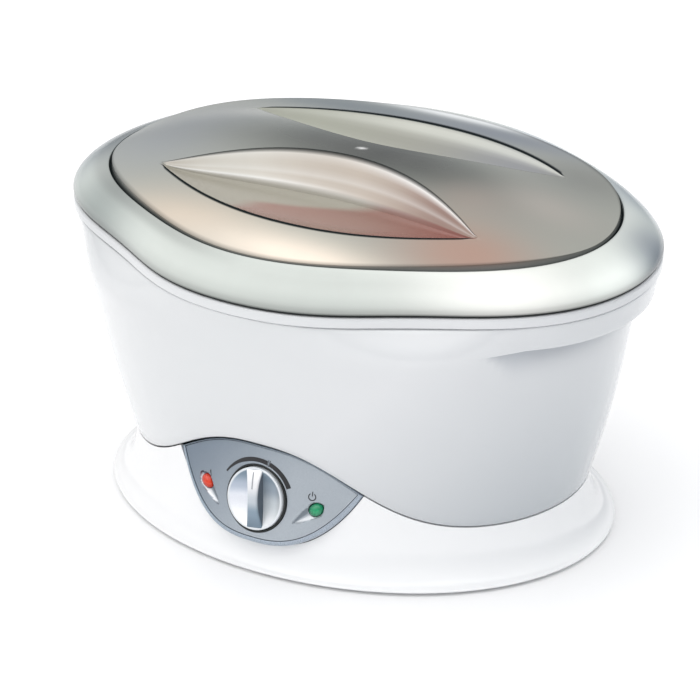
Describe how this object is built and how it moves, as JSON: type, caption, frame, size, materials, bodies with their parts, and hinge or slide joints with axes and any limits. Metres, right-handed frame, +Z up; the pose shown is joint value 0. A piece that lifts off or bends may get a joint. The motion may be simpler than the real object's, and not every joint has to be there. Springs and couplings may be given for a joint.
{
  "type": "paraffin wax bath",
  "caption": "Oval heated wax bath for hands and feet: white housing on a flared pedestal, lift-off smoked lid with leaf-shaped recesses, temperature dial and indicator lamps.",
  "frame": {"origin": "on the ground, at the middle of the bounding box's underside", "axes": "+X along the length, to the right when facing the control panel; -Y is the front, with the control panel; +Z up"},
  "size_m": [0.375, 0.2932, 0.225],
  "materials": {
    "white_plastic": "gloss, faintly cool white",
    "silver_plastic": "silver metallic paint on plastic, satin",
    "grey_plastic": "matt",
    "smoke_polycarbonate": "clear smoke tint, high gloss",
    "dark_rubber": "matt",
    "aluminium": "satin pressed sheet",
    "steel": "plain",
    "grille_plastic": "matt",
    "mineral_felt": "pressed felt",
    "red_lens": "translucent, gloss",
    "green_lens": "translucent, gloss",
    "lamp_glass": "clear",
    "copper": "drawn copper tube",
    "pointer_ink": "satin",
    "block_nylon": "matt",
    "fuse_ceramic": "matt",
    "live_wire": "brown insulation",
    "heater_wire": "red insulation",
    "fuse_wire": "cream sleeve",
    "neutral_wire": "blue insulation",
    "earth_wire": "green insulation",
    "lead_rubber": "pale grey, satin",
    "brass": "polished"
  },
  "bodies": {
    "root": {"housing": "white_plastic", "rim_ring": "white_plastic", "base": "white_plastic", "bottom_cover": "grey_plastic", "lid_seal": "dark_rubber", "tub": "aluminium", "tub_seal": "dark_rubber", "heating_element": "steel", "heater_clamp": "aluminium", "insulation_mat": "mineral_felt", "heat_shield": "steel", "tub_stud": "steel", "stud_nut": "steel", "control_bezel": "silver_plastic", "control_fascia": "silver_plastic", "dial_plate": "dark_rubber", "red_lens": "red_lens", "green_lens": "green_lens", "red_lamp": "lamp_glass", "green_lamp": "lamp_glass", "thermostat_body": "grey_plastic", "thermostat_bracket": "steel", "capillary_tube": "copper", "sensing_bulb": "steel", "bulb_clip": "steel", "terminal_block": "block_nylon", "thermal_fuse": "fuse_ceramic", "fuse_clip": "steel", "live_wire": "live_wire", "heater_wire": "heater_wire", "fuse_wire": "fuse_wire", "neutral_wire": "neutral_wire", "earth_wire": "earth_wire", "strain_relief": "lead_rubber", "power_lead": "lead_rubber", "plug_body": "lead_rubber", "plug_pin_lower": "brass", "plug_pin_upper": "brass", "cover_screw_front_left": "steel", "cover_screw_front_right": "steel", "cover_screw_rear_left": "steel", "cover_screw_rear_right": "steel", "foot_front_left": "dark_rubber", "foot_front_right": "dark_rubber", "foot_rear_left": "dark_rubber", "foot_rear_right": "dark_rubber"},
    "lid": {"lid": "smoke_polycarbonate"},
    "dial": {"knob": "silver_plastic", "knob_pointer": "pointer_ink", "thermostat_shaft": "steel"},
    "grille": {"grille": "grille_plastic"}
  },
  "joints": [
    {"name": "lid_lift", "type": "slide", "parent": "root", "child": "lid", "axis": [0, 0, 1], "range_m": [0, 0.16]},
    {"name": "dial_turn", "type": "hinge", "parent": "root", "child": "dial", "pos_m": [0, -0.1195, 0.0458], "axis": [0, 0.9686, -0.2487], "range_deg": [-56, 72]},
    {"name": "grille_lift", "type": "slide", "parent": "root", "child": "grille", "axis": [0, 0, 1], "range_m": [0, 0.08]}
  ]
}
